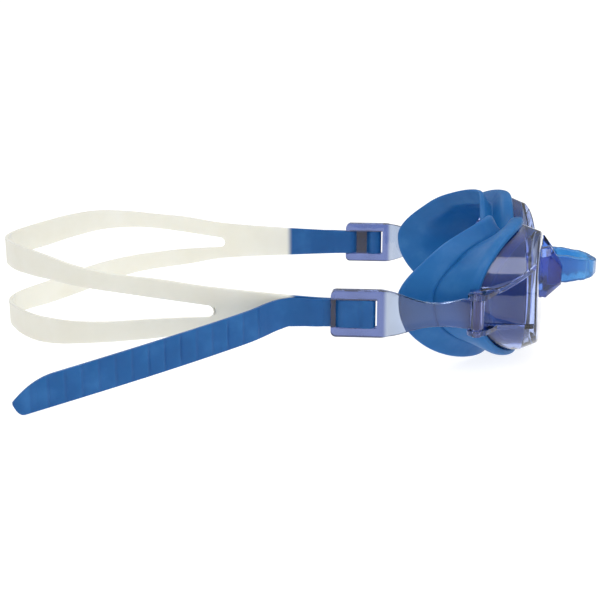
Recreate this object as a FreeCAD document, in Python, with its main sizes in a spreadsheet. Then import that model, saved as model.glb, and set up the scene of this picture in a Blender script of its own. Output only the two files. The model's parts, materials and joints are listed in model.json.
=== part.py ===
import FreeCAD, Part
import math
import os
import Sketcher
from FreeCAD import Vector

# Swim goggles, in millimetres: +X is the way the wearer looks, +Y the wearer's left, +Z up.
# Every piece is drawn in the frame of the strap line: X = 0 is the middle of the buckles,
# Y = 0 the middle plane of the face, Z = 0 the middle of the strap. At the end the whole
# assembly is placed so that the middle of its box stands at the origin, on Z = 0.

SIZES = (
    # eye cups
    ("cup_offset", 34.5, "middle plane to the middle of an eye cup"),
    ("cup_rise", 4.0, "strap line up to the middle of the cups"),
    ("cup_power", 2.3, "squareness of the cup outline, 2 is an ellipse"),
    ("rim_tuck", 1.2, "how much less the soft rim reaches sideways than the lens wall"),
    ("rim_flare", 3.1, "how much further the soft rim reaches up and down than the lens wall"),
    ("rim_front", 5.5, "clip pin forward to the soft rim at the nose"),
    ("rim_sweep", 35.6, "how far the rim runs back at the temple"),
    ("sweep_inside", 10.5, "cup middle to where, on its nose side, the rims start to sweep back"),
    ("sweep_span", 35.0, "distance over which the sweep is given"),
    ("gasket_wall", 1.8, "thickness of the soft flange"),
    ("collar_depth", 4.6, "length of the collar around the lens"),
    ("collar_wall", 2.3, "thickness of the collar around the lens"),
    ("seat_gap", 0.1, "room between the lens and its gasket"),
    # lenses
    ("lens_half_width", 25.0, "lens wall, half of its width"),
    ("lens_half_height", 24.5, "lens wall, half of its height"),
    ("lens_rear", 14.5, "clip pin forward to the rear edge of the lens at the nose"),
    ("lens_sweep", 18.0, "how far the lens edge runs back at the temple"),
    ("lens_shoulder", 18.0, "clip pin forward to where the lens starts to narrow"),
    ("lens_front", 26.0, "clip pin forward to the middle of the lens front"),
    ("front_taper_wide", 2.0, "how much the lens narrows to each side of its front"),
    ("front_taper_high", 3.3, "how much the lens narrows above and below its front"),
    ("front_wrap", 9.0, "how far the lens fronts wrap back, degrees"),
    ("lens_wall", 2.0, "thickness of the lens wall and front"),
    # nose lugs and nose bridge
    ("lug_inner", 9.5, "middle plane to the inner face of a nose lug"),
    ("lug_root", 5.0, "how far a nose lug reaches over the lens from the lens's inner edge"),
    ("lug_front", 14.0, "lens front forward to the front of the nose lugs"),
    ("bridge_front", 12.5, "front of the lugs forward to the front of the nose bridge"),
    ("bridge_wall", 3.4, "thickness of the nose bridge"),
    ("bridge_height", 12.4, "height of the nose bridge at the lugs"),
    ("bridge_tip_height", 8.0, "height of the nose bridge at its front"),
    ("bridge_rise", 5.0, "strap line up to the middle of the bridge"),
    ("bridge_gap", 0.1, "room between the bridge and the lugs"),
    # clips
    ("pin_ahead", 43.5, "buckle middle to the clip pin"),
    ("pin_standoff", 8.0, "lens wall out to the clip pin"),
    ("pin_rise", 2.0, "strap line up to the middle of the clip eye"),
    ("pin_diameter", 2.2, "clip pin"),
    ("pin_play", 0.35, "room around the pin in the clip eye"),
    ("eye_wall", 1.15, "wall of the clip eye around the pin"),
    ("eye_height", 10.6, "height of the clip eye"),
    ("bracket_wall", 2.0, "thickness of a bracket plate"),
    ("bracket_gap", 0.3, "room above and below the clip eye"),
    ("clip_inset", 5.4, "clip pin in to the middle of the buckle"),
    ("buckle_length", 19.2, "buckle, front to rear"),
    ("rail_height", 3.35, "height of the rails above and below the buckle window"),
    ("buckle_depth", 4.2, "buckle, inside to outside"),
    ("bar_depth", 1.1, "thickness of the bars across a buckle"),
    ("lock_bar_rear", -4.6, "rear edge of the inner bar that grips the strap"),
    ("lock_bar_front", 0.2, "front edge of that bar"),
    ("window_rear", -7.7, "rear end of the buckle window"),
    ("window_front", 7.4, "front end of the buckle window"),
    ("arm_depth", 2.4, "thickness of the clip arm"),
    ("arm_waist", 9.0, "height of the clip arm at its waist"),
    ("fold_bar_ahead", 3.9, "buckle middle to the bar that the strap folds around"),
    ("fold_bar_out", 0.2, "outward from the middle of the buckle to the middle of the fold bar"),
    ("fold_bar_diameter", 1.8, "bar that the strap folds around"),
    # strap
    ("strap_thickness", 1.3, "thickness of the strap"),
    ("strap_width", 10.4, "width of the strap in the buckles"),
    ("strap_play", 0.15, "room between strap layers, bars and rails"),
    ("strap_rear_end", 150.0, "buckle middle back to the strap at the back of the head"),
    ("strap_tuck", 1.8, "how far the strap lies inside the buckles beside the head"),
    ("flex_behind", 12.0, "buckle middle back to where the strap bends"),
    ("flex_gap", 0.45, "room between the strap and its buckle ends at that bend"),
    ("colour_joint", 30.0, "buckle middle back to where the strap colour changes"),
    ("slot_start", 60.0, "buckle middle back to the end of the strap split"),
    ("strap_pull", 6.5, "how much further the strap is pulled through the right buckle"),
    ("upper_reach", 16.4, "strap line up to the top of the upper band"),
    ("upper_gap", 7.2, "strap line up to the bottom of the upper band"),
    ("lower_gap", 12.8, "strap line down to the top of the lower band"),
    ("lower_reach", 21.8, "strap line down to the bottom of the lower band"),
    ("tail_clear", 2.2, "how far a tail lies outside its place in the buckle, beside the strap"),
    ("right_tail_length", 114.5, "loose right strap end behind the bend"),
    ("right_tail_swing", 52.0, "how far its tip stands out from the strap"),
    ("right_tail_drop", 18.9, "how far its tip hangs below the strap line"),
    ("left_tail_length", 42.0, "loose left strap end behind the bend"),
    ("left_tail_swing", 3.0, "how far its tip stands out from the strap"),
    ("left_tail_drop", 0.0, "how far its tip hangs below the strap line"),
)

# Places across the face that more than one piece takes its own from, as sheet expressions.
PIN_OFFSET = "(sizes.cup_offset + sizes.lens_half_width + sizes.pin_standoff)"
CLIP_OFFSET = "(%s - sizes.clip_inset)" % PIN_OFFSET
LUG_FRONT = "(sizes.pin_ahead + sizes.lens_front + sizes.lug_front)"
WINDOW_HEIGHT = "(sizes.strap_width + 2 * sizes.strap_play)"

BRACKET_REACH = "(sizes.pin_standoff + sizes.lens_wall - 0.6)"
BRACKET_FEET = {
    "upper": "sizes.pin_rise + sizes.eye_height / 2 + sizes.bracket_gap",
    "lower": "sizes.pin_rise - sizes.eye_height / 2 - sizes.bracket_gap - sizes.bracket_wall",
}

# The strap from above: share of the way from the end of its straight part to the back of the
# head, and share of its half span.
STRAP_PLAN = (
    (0.22, 1.0), (0.38, 0.99), (0.49, 0.955), (0.58, 0.89), (0.66, 0.80), (0.73, 0.70),
    (0.80, 0.575), (0.865, 0.445), (0.925, 0.31), (0.97, 0.19), (0.993, 0.09),
)
STRAIGHT_SHARE = 0.4

# The strap from the side: share of the way from the end of the split to the back of the head,
# and the shares of the reaches and gaps of its two bands.
BAND_SHARES = (
    # place, upper reach, upper gap, lower gap, lower reach
    (0.0, 0.50, 0.0, 0.0, 0.385),
    (0.018, 0.515, 0.17, 0.11, 0.40),
    (0.22, 0.67, 0.51, 0.34, 0.54),
    (0.38, 0.756, 0.78, 0.46, 0.63),
    (0.525, 0.878, 0.94, 0.555, 0.715),
    (0.657, 0.985, 1.0, 0.656, 0.84),
    (0.778, 1.0, 0.84, 0.797, 0.945),
    (0.887, 0.94, 0.63, 0.92, 1.0),
    (1.0, 0.866, 0.555, 1.0, 0.99),
)

# The nose lug from the side: distance behind its front, and how far it reaches beyond the
# bridge's top (1) or bottom (-1) edge.
LUG_OUTLINE = (
    (15.0, 1, 2.6), (8.0, 1, 4.6), (1.6, 1, -0.4), (0.0, 1, -3.4),
    (0.2, -1, -0.4), (8.0, -1, 6.4), (15.0, -1, 4.4),
)

# The clip's arm from the side: distance ahead of the buckle, and how far it has narrowed from
# the buckle's height (0) to the waist's (1).
ARM_NECK = ((0.0, 0.0), (6.0, 0.3), (14.0, 0.9), (24.0, 1.0))
ARM_EYE_LENGTH = 5.0

OUTLINE_POINTS = 24
RING_SECTIONS = 32
BIG = 200.0

doc = FreeCAD.newDocument("swim_goggles")
sheet = doc.addObject("Spreadsheet::Sheet", "sizes")
for row, (alias, value, meaning) in enumerate(SIZES, start=1):
    sheet.set("A%d" % row, meaning)
    sheet.set("B%d" % row, "%g" % value)
    sheet.setAlias("B%d" % row, alias)
doc.recompute()


def size(alias):
    """The value of a named cell of the sheet."""
    return float(sheet.get(alias))


def pin_offset():
    """Middle plane to a clip pin."""
    return size("cup_offset") + size("lens_half_width") + size("pin_standoff")


def clip_offset():
    """Middle plane to the middle of a buckle."""
    return pin_offset() - size("clip_inset")


def strap_half_span():
    """Middle plane to the strap along the sides of the head."""
    return clip_offset() - size("strap_tuck")


def from_pin(alias):
    """X of a place that is measured forward from the clip pins."""
    return size("pin_ahead") + size(alias)


def lug_front():
    """X of the front of the nose lugs."""
    return from_pin("lens_front") + size("lug_front")


def solid_feature(name, shape):
    """Put a shape made here into the document under its own name."""
    feature = doc.addObject("Part::Feature", name)
    feature.Label = name
    feature.Shape = shape
    return feature


def bind(obj, **cells):
    """Bind properties of an object to expressions of the sheet's cells."""
    for prop, expression in cells.items():
        obj.setExpression(prop.replace("_at_", "."), expression)


def fuse(name, features):
    joined = doc.addObject("Part::MultiFuse", name)
    joined.Label = name
    joined.Shapes = features
    return joined


def cut(name, base, tool):
    result = doc.addObject("Part::Cut", name)
    result.Label = name
    result.Base = base
    result.Tool = tool
    return result


def box(name, length, width, height, place_x, place_y, place_z):
    """A box whose sizes and low corner are expressions of the sheet."""
    feature = doc.addObject("Part::Box", name)
    bind(feature, Length=length, Width=width, Height=height)
    bind(feature, Placement_at_Base_at_x=place_x, Placement_at_Base_at_y=place_y,
         Placement_at_Base_at_z=place_z)
    return feature


def post(name, radius, height, place_x, place_y, place_z):
    """An upright cylinder whose sizes and foot are expressions of the sheet."""
    feature = doc.addObject("Part::Cylinder", name)
    bind(feature, Radius=radius, Height=height)
    bind(feature, Placement_at_Base_at_x=place_x, Placement_at_Base_at_y=place_y,
         Placement_at_Base_at_z=place_z)
    return feature


def spline(points):
    curve = Part.BSplineCurve()
    curve.interpolate(points)
    return curve.toShape()


def closed_spline(points):
    curve = Part.BSplineCurve()
    curve.interpolate(Points=points, PeriodicFlag=True)
    return Part.Wire([curve.toShape()])


def outline_radius(half_width, half_height, angle):
    """Distance from the middle of a cup to its outline in one direction."""
    power = size("cup_power")
    across = (abs(math.cos(angle)) / half_width) ** power
    upward = (abs(math.sin(angle)) / half_height) ** power
    return (across + upward) ** (-1.0 / power)


def cup_point(x, radius, angle):
    """A point of the right cup, at a distance from the cup's own axis."""
    y = -size("cup_offset") - radius * math.cos(angle)
    z = size("cup_rise") + radius * math.sin(angle)
    return Vector(x, y, z)


def swept_back(start_x, sweep, y):
    """X of an edge that runs back towards the temple, at a distance y from the middle."""
    start_y = size("cup_offset") - size("sweep_inside")
    beyond = max(0.0, abs(y) - start_y) / size("sweep_span")
    return start_x - sweep * beyond ** 2


def cup_section(middle_x, half_width, half_height, wrap=0.0):
    """A closed outline across the right cup, its plane wrapped back by an angle."""
    points = []
    for step in range(OUTLINE_POINTS):
        angle = 2.0 * math.pi * step / OUTLINE_POINTS
        point = cup_point(middle_x, outline_radius(half_width, half_height, angle), angle)
        point.x += math.tan(wrap) * (point.y + size("cup_offset"))
        points.append(point)
    return closed_spline(points)


def lens_body(inset):
    """The lens as a full block, inset from its outside by one wall or by none."""
    wrap = math.radians(size("front_wrap"))
    wide = size("lens_half_width") - inset
    high = size("lens_half_height") - inset
    front_wide = wide - size("front_taper_wide")
    front_high = high - size("front_taper_high")
    sections = [
        cup_section(0.0, wide, high),
        cup_section(from_pin("lens_shoulder") - inset, wide, high),
        cup_section(from_pin("lens_front") - inset, front_wide, front_high, wrap),
    ]
    return Part.makeLoft(sections, True, True)


def plan_prism(points, low, high, closing):
    """Upright prism over a plan area: a spline, closed by straight lines."""
    corners = [points[-1]] + closing + [points[0]]
    edges = [spline(points)]
    edges += [Part.makeLine(a, b) for a, b in zip(corners, corners[1:])]
    face = Part.Face(Part.Wire(edges))
    face.translate(Vector(0, 0, low))
    return face.extrude(Vector(0, 0, high - low))


def right_lens_shell():
    """The right lens: front, wall and nose lug, open at the back."""
    shell = lens_body(0.0).cut(lens_body(size("lens_wall")))
    edge = []
    outer_y = size("cup_offset") + size("lens_half_width") + 1.0
    for step in range(9):
        y = -outer_y * step / 8.0
        edge.append(Vector(swept_back(from_pin("lens_rear"), size("lens_sweep"), y), y, 0))
    behind = plan_prism(edge, -BIG, BIG, [Vector(-1, -outer_y, 0), Vector(-1, 0, 0)])
    shell = shell.cut(behind)
    return shell.fuse(nose_lug()).removeSplitter()


def nose_lug():
    """The pointed lug ahead of the lens, beside the nose, that holds the bridge."""
    rise = size("bridge_rise")
    reach = size("bridge_height") / 2.0
    root = size("cup_offset") - size("lens_half_width") + size("lug_root")
    points = []
    for behind, end, beyond in LUG_OUTLINE:
        points.append(Vector(lug_front() - behind, -root, rise + end * (reach + beyond)))
    face = Part.Face(Part.makePolygon(points + points[:1]))
    lug = face.extrude(Vector(0, root - size("lug_inner"), 0))
    return lug.cut(lens_body(0.5 * size("lens_wall")))


def gasket_profile(angle):
    """Section through the right gasket in one direction from the cup's axis."""
    lens_r = outline_radius(size("lens_half_width"), size("lens_half_height"), angle)
    rim_wide = size("lens_half_width") - size("rim_tuck")
    rim_high = size("lens_half_height") + size("rim_flare")
    rim_r = outline_radius(rim_wide, rim_high, angle)
    lens_x = swept_back(from_pin("lens_rear"), size("lens_sweep"), cup_point(0, lens_r, angle).y)
    rim_x = swept_back(from_pin("rim_front"), size("rim_sweep"), cup_point(0, rim_r, angle).y)
    wall = size("gasket_wall")
    gap = size("seat_gap")
    collar = size("collar_depth")
    collar_wall = size("collar_wall")
    neck_x = rim_x + 0.5 * (lens_x - rim_x)
    neck_r = min(lens_r, rim_r) - 1.6 * wall
    profile = [
        (lens_x + collar, lens_r + gap),
        (lens_x + collar, lens_r + 0.6 * collar_wall),
        (lens_x + 0.75 * collar, lens_r + collar_wall),
        (lens_x + 0.1 * collar, lens_r + collar_wall),
        (neck_x + 0.5 * wall, neck_r + 0.5 * wall),
        (rim_x + 0.9 * wall, rim_r),
        (rim_x, rim_r - 0.3 * wall),
        (rim_x + 0.3 * wall, rim_r - wall),
        (neck_x - 0.5 * wall, neck_r - 0.5 * wall),
        (lens_x - 0.9 * wall, lens_r - 1.8 * wall),
        (lens_x - gap, lens_r - 1.8 * wall),
        (lens_x - gap, lens_r + gap),
    ]
    points = [cup_point(x, radius, angle) for x, radius in profile]
    return Part.makePolygon(points + points[:1])


def right_gasket_ring():
    """The soft cup all the way round, as an upper and a lower half joined into one."""
    sections = [gasket_profile(2.0 * math.pi * step / RING_SECTIONS) for step in range(RING_SECTIONS)]
    sections.append(gasket_profile(0.0))
    half = RING_SECTIONS // 2
    upper = Part.makeLoft(sections[:half + 1], True, False)
    lower = Part.makeLoft(sections[half:], True, False)
    return upper.fuse(lower).removeSplitter().Solids[0]


def ribbon(points, thickness, low, high):
    """Upright band of even thickness along a smooth plan line through points."""
    curve = Part.BSplineCurve()
    curve.interpolate(points)
    steps = 4 * len(points)
    left = []
    right = []
    for step in range(steps + 1):
        at = curve.FirstParameter + (curve.LastParameter - curve.FirstParameter) * step / steps
        along = curve.tangent(at)[0]
        across = Vector(-along.y, along.x, 0) * (thickness / 2.0)
        middle = curve.value(at)
        left.append(middle + across)
        right.append(middle - across)
    edges = [
        spline(left),
        Part.makeLine(left[-1], right[-1]),
        spline(right),
        Part.makeLine(right[0], left[0]),
    ]
    face = Part.Face(Part.Wire(Part.__sortEdges__(edges)))
    face.translate(Vector(0, 0, low))
    return face.extrude(Vector(0, 0, high - low))


def layer_offset(count):
    """Middle of a strap layer at the bend: 0 is the strap itself, 1 the tail outside it."""
    step = size("strap_thickness") + size("strap_play")
    outer_bar = clip_offset() + size("buckle_depth") / 2.0 - size("bar_depth")
    tail = outer_bar - size("strap_play") - size("strap_thickness") / 2.0
    return tail - (1 - count) * step


def strap_start():
    """Distance from the buckle middle back to the strap behind its bend."""
    return size("flex_behind") + size("flex_gap") / 2.0


def pulled(alias, side):
    """A distance along the strap, shifted by how far the strap is pulled to the right side."""
    return size(alias) + side * size("strap_pull")


def strap_line(side):
    """Plan points of the strap's middle line from one bend to the back of the head."""
    rear = size("strap_rear_end")
    straight = STRAIGHT_SHARE * rear
    span = strap_half_span()
    first = layer_offset(0)
    points = [
        Vector(-strap_start(), side * first, 0),
        Vector(-strap_start() - 0.05 * rear, side * (first + 0.1), 0),
        Vector(-0.7 * straight, side * span, 0),
        Vector(-straight, side * span, 0),
    ]
    for share, width in STRAP_PLAN:
        points.append(Vector(-straight - (rear - straight) * share, side * span * width, 0))
    return points


def strap_band():
    """Both sides of the strap and its turn behind the head, as one upright band."""
    right = strap_line(-1)
    left = strap_line(1)
    points = right + [Vector(-size("strap_rear_end"), 0, 0)] + left[::-1]
    return ribbon(points, size("strap_thickness"), -BIG / 4, BIG / 4)


def side_area(upper, lower):
    """A plate through the whole width between two lines (x, z) of the side view."""
    upper = [Vector(x, 0, z) for x, z in upper]
    lower = [Vector(x, 0, z) for x, z in lower]
    edges = [spline(upper), Part.makeLine(upper[-1], lower[-1]), spline(lower)]
    if upper[0].distanceToPoint(lower[0]) > 0.01:
        edges.append(Part.makeLine(lower[0], upper[0]))
    face = Part.Face(Part.Wire(Part.__sortEdges__(edges)))
    face.translate(Vector(0, -BIG / 2, 0))
    return face.extrude(Vector(0, BIG, 0))


def band_line(side, column, reach):
    """One edge of the bands in the side view, from the split's end to the back of the head."""
    slot = pulled("slot_start", side)
    run = size("strap_rear_end") + size("strap_thickness") - slot
    return [(-slot - run * row[0], reach * row[column]) for row in BAND_SHARES]


def strap_outline(side):
    """Side view of the strap: narrow at the buckles, tallest behind the head."""
    narrow = size("strap_width") / 2.0
    bend = -size("flex_behind") - 2.0
    upper = [(0.0, narrow), (bend, narrow + 0.1)] + band_line(side, 1, size("upper_reach"))
    lower = [(0.0, -narrow), (bend, -narrow - 0.1)] + band_line(side, 4, -size("lower_reach"))
    return side_area(upper, lower)


def slot_outline(side):
    """Side view of the split between the two bands."""
    return side_area(band_line(side, 2, size("upper_gap")), band_line(side, 3, -size("lower_gap")))


def half_space(low_x, high_x, low_y, high_y):
    return Part.makeBox(high_x - low_x, high_y - low_y, BIG, Vector(low_x, low_y, -BIG / 2))


def strap_pieces():
    """The milky split strap and its two blue ends, cut where the colour changes."""
    band = strap_band()
    rear = []
    ends = {}
    for side in (-1, 1):
        low_y, high_y = min(0.0, side * BIG), max(0.0, side * BIG)
        half = band.common(half_space(-BIG, 0, low_y, high_y))
        half = half.common(strap_outline(side)).cut(slot_outline(side))
        joint = -pulled("colour_joint", side)
        rear.append(half.common(half_space(-BIG, joint, low_y, high_y)))
        ends[side] = half.common(half_space(joint, 0, low_y, high_y)).Solids[0]
    return rear[0].fuse(rear[1]).removeSplitter().Solids[0], ends[-1], ends[1]


def tail(side, length, swing, drop):
    """A loose strap end outside the strap, from the bend to its rounded tip."""
    start = strap_start()
    lead = 16.0
    first = layer_offset(1)
    beside = first + size("tail_clear")
    run = math.sqrt(max(1.0, length ** 2 - swing ** 2)) - lead
    line = [
        Vector(-start, side * first, 0),
        Vector(-start - 0.25 * lead, side * (first + 0.2 * size("tail_clear")), 0),
        Vector(-start - lead, side * beside, 0),
    ]
    for share in (0.33, 0.67, 1.0):
        line.append(Vector(-start - lead - run * share, side * (beside + swing * share ** 0.9), 0))
    band = ribbon(line, size("strap_thickness"), -BIG / 4, BIG / 4)
    half = size("strap_width") / 2.0
    level_end = -start - lead + 2.0
    upper = [Vector(0, 0, half), Vector(level_end, 0, half)]
    lower = [Vector(0, 0, -half), Vector(level_end, 0, -half)]
    for share in (0.33, 0.67, 0.9, 1.0):
        x = -start - lead - run * share
        z = -drop * share
        round_off = half * (0.45 if share == 1.0 else 1.0)
        upper.append(Vector(x, 0, z + round_off))
        lower.append(Vector(x, 0, z - round_off))
    outline = [
        Part.makeLine(upper[0], upper[1]),
        spline(upper[1:]),
        Part.makeLine(upper[-1], lower[-1]),
        spline(lower[1:]),
        Part.makeLine(lower[1], lower[0]),
        Part.makeLine(lower[0], upper[0]),
    ]
    face = Part.Face(Part.Wire(Part.__sortEdges__(outline)))
    face.translate(Vector(0, -BIG, 0))
    return band.common(face.extrude(Vector(0, 2 * BIG, 0))).Solids[0]


def strap_fold(side):
    """The strap inside a buckle: in past the lock bar, around the fold bar and back out."""
    thick = size("strap_thickness")
    play = size("strap_play")
    start = -size("flex_behind") + size("flex_gap") / 2.0 + thick / 2.0
    bar_x = size("fold_bar_ahead")
    middle = clip_offset() + size("fold_bar_out")
    turn = size("fold_bar_diameter") / 2.0 + play + thick / 2.0
    over_bar = clip_offset() - size("buckle_depth") / 2.0 + size("bar_depth") + play + thick / 2.0
    top_layer = over_bar + thick + play
    ramp = 2.2
    past_bar = 0.4
    turn_lead = 0.8
    rear = size("lock_bar_rear") - past_bar
    front = size("lock_bar_front") + past_bar
    slope = math.atan2(over_bar - layer_offset(0), ramp)
    shift = (thick + play) * math.tan(slope / 2.0)
    inner = [(start, layer_offset(0)), (rear - ramp, layer_offset(0)), (rear, over_bar),
             (front, over_bar), (bar_x - turn_lead, middle - turn), (bar_x, middle - turn)]
    outer = [(bar_x, middle + turn), (bar_x - turn_lead, middle + turn), (front, top_layer),
             (rear - shift, top_layer), (rear - shift - ramp, layer_offset(1)), (start, layer_offset(1))]
    edges = []
    for layer in (inner, outer):
        points = [Vector(x, side * y, 0) for x, y in layer]
        edges += Part.makePolygon(points).Edges
    ends = [Vector(bar_x, side * (middle + sign * turn), 0) for sign in (-1, 1)]
    edges.append(Part.Arc(ends[0], Vector(bar_x + turn, side * middle, 0), ends[1]).toShape())
    path = Part.Wire(Part.__sortEdges__(edges))
    outline = path.makeOffset2D(thick / 2.0, 0, False, False)
    face = Part.Face(outline.Wires[0])
    face.translate(Vector(0, 0, -size("strap_width") / 2.0))
    return face.extrude(Vector(0, 0, size("strap_width")))


def clip_blank():
    """The right clip from above, cut to its side view: buckle, arm and eye, still solid."""
    rear = -size("buckle_length") / 2.0
    front = size("buckle_length") / 2.0
    shoulder_rear = front - 1.0
    shoulder_front = front + 2.0
    corner_radius = 2.0
    deep = size("buckle_depth") / 2.0
    thin = size("arm_depth") / 2.0
    offset = clip_offset()
    pin_x = size("pin_ahead")
    pin_y = pin_offset()
    top = size("strap_width") / 2.0 + size("strap_play") + size("rail_height")
    waist = size("arm_waist") / 2.0
    eye = size("eye_height") / 2.0
    rise = size("pin_rise")
    plan = [
        (rear, offset - deep),
        (shoulder_rear, offset - deep),
        (shoulder_front, offset - thin),
        (pin_x, pin_y - thin),
        (pin_x, pin_y + thin),
        (shoulder_front, offset + thin),
        (shoulder_rear, offset + deep),
        (rear, offset + deep),
    ]
    corners = [Vector(x, -y, -BIG / 4) for x, y in plan]
    slab = Part.Face(Part.makePolygon(corners + corners[:1])).extrude(Vector(0, 0, BIG / 2))
    eye_radius = size("pin_diameter") / 2.0 + size("pin_play") + size("eye_wall")
    eye_post = Part.makeCylinder(eye_radius, BIG / 2, Vector(pin_x, -pin_y, -BIG / 4))
    eye_rear = pin_x - ARM_EYE_LENGTH
    upper = []
    lower = []
    for ahead, narrowed in ARM_NECK:
        half = top + (waist - top) * narrowed
        lifted = rise * (ahead / (eye_rear - front)) ** 2
        upper.append(Vector(front + ahead, 0, half + lifted))
        lower.append(Vector(front + ahead, 0, lifted - half))
    upper.append(Vector(eye_rear, 0, eye + rise))
    lower.append(Vector(eye_rear, 0, rise - eye))
    tip = pin_x + 2.0 * eye_radius
    edges = [
        spline(upper),
        Part.makeLine(upper[-1], Vector(tip, 0, eye + rise)),
        Part.makeLine(Vector(tip, 0, eye + rise), Vector(tip, 0, -eye + rise)),
        Part.makeLine(Vector(tip, 0, -eye + rise), lower[-1]),
        spline(lower),
        Part.makeLine(lower[0], Vector(rear, 0, -top)),
        Part.makeLine(Vector(rear, 0, -top), Vector(rear, 0, top)),
        Part.makeLine(Vector(rear, 0, top), upper[0]),
    ]
    face = Part.Face(Part.Wire(Part.__sortEdges__(edges)))
    face.translate(Vector(0, -BIG, 0))
    side_view = face.extrude(Vector(0, BIG, 0))
    blank = slab.fuse(eye_post).common(side_view).removeSplitter()
    corner_edges = []
    for edge in blank.Edges:
        bounds = edge.BoundBox
        across = bounds.YLength > 0.9 * size("buckle_depth") and bounds.ZLength < 0.01
        if across and abs(bounds.XMin - rear) < 0.01 and abs(bounds.XMax - rear) < 0.01:
            corner_edges.append(edge)
    return blank.makeFillet(corner_radius, corner_edges)


def make_right_clip():
    """Window, bars and pin hole of the right clip."""
    blank = solid_feature("right_clip_blank", clip_blank())
    inner = "-(%s - sizes.buckle_depth / 2)" % CLIP_OFFSET
    outer = "-(%s + sizes.buckle_depth / 2)" % CLIP_OFFSET
    window = box("clip_window", "sizes.window_front - sizes.window_rear", "3 * sizes.buckle_depth",
                 WINDOW_HEIGHT, "sizes.window_rear", outer + " - sizes.buckle_depth",
                 "-%s / 2" % WINDOW_HEIGHT)
    rear_slot = box("clip_rear_slot", "sizes.buckle_length", "3 * sizes.buckle_depth", WINDOW_HEIGHT,
                    "sizes.window_rear - sizes.buckle_length",
                    outer + " + sizes.bar_depth", "-%s / 2" % WINDOW_HEIGHT)
    bore = post("clip_bore", "sizes.pin_diameter / 2 + sizes.pin_play", "4 * sizes.eye_height",
                "sizes.pin_ahead", "-" + PIN_OFFSET, "-2 * sizes.eye_height")
    hollowed = cut("clip_hollowed", blank, fuse("clip_cuts", [window, rear_slot, bore]))
    lock_bar = box("clip_lock_bar", "sizes.lock_bar_front - sizes.lock_bar_rear",
                   "sizes.bar_depth", WINDOW_HEIGHT + " + 1",
                   "sizes.lock_bar_rear", inner + " - sizes.bar_depth",
                   "-(%s + 1) / 2" % WINDOW_HEIGHT)
    fold_bar = post("clip_fold_bar", "sizes.fold_bar_diameter / 2", WINDOW_HEIGHT + " + 1",
                    "sizes.fold_bar_ahead", "-(%s + sizes.fold_bar_out)" % CLIP_OFFSET,
                    "-(%s + 1) / 2" % WINDOW_HEIGHT)
    return fuse("right_clip", [hollowed, lock_bar, fold_bar])


def make_right_lens():
    """The right lens with the two bracket plates that hold the clip pin."""
    shell = solid_feature("right_lens_shell", right_lens_shell())
    plates = []
    for level, foot in BRACKET_FEET.items():
        plates.append(box("bracket_%s_arm" % level, "2 * sizes.bracket_wall + 2.4", BRACKET_REACH,
                          "sizes.bracket_wall", "sizes.pin_ahead - sizes.bracket_wall - 1.2",
                          "-" + PIN_OFFSET, foot))
        plates.append(post("bracket_%s_end" % level, "sizes.bracket_wall + 1.2",
                           "sizes.bracket_wall", "sizes.pin_ahead", "-" + PIN_OFFSET, foot))
    bore = post("bracket_bore", "sizes.pin_diameter / 2", "4 * sizes.eye_height",
                "sizes.pin_ahead", "-" + PIN_OFFSET, "-2 * sizes.eye_height")
    return cut("right_lens", fuse("lens_with_bracket", [shell] + plates), bore)


def make_right_gasket():
    """The soft cup, slotted where the bracket plates pass through its collar."""
    ring = solid_feature("right_gasket_ring", right_gasket_ring())
    slots = []
    for level, foot in BRACKET_FEET.items():
        slots.append(box("collar_slot_" + level, "2 * sizes.bracket_wall + 2.4 + 2 * sizes.seat_gap",
                         BRACKET_REACH, "sizes.bracket_wall + 2 * sizes.seat_gap",
                         "sizes.pin_ahead - sizes.bracket_wall - 1.2 - sizes.seat_gap",
                         "-" + PIN_OFFSET, foot + " - sizes.seat_gap"))
    return cut("right_gasket", ring, fuse("collar_slots", slots))


def make_right_pin():
    """The clip pin: a shank between two low heads that lie on the bracket plates."""
    half = "(sizes.eye_height / 2 + sizes.bracket_gap + sizes.bracket_wall)"
    shank = post("pin_shank", "sizes.pin_diameter / 2", "2 * %s" % half,
                 "sizes.pin_ahead", "-" + PIN_OFFSET, "sizes.pin_rise - %s" % half)
    upper = post("pin_upper_head", "0.8 * sizes.pin_diameter", "0.8",
                 "sizes.pin_ahead", "-" + PIN_OFFSET, "sizes.pin_rise + %s" % half)
    lower = post("pin_lower_head", "0.8 * sizes.pin_diameter", "0.8",
                 "sizes.pin_ahead", "-" + PIN_OFFSET, "sizes.pin_rise - %s - 0.8" % half)
    return fuse("right_clip_pin", [shank, upper, lower])


def origin_plane(body, role):
    for feature in body.Origin.OriginFeatures:
        if feature.Role == role:
            return feature
    raise RuntimeError("no origin plane %s" % role)


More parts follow.
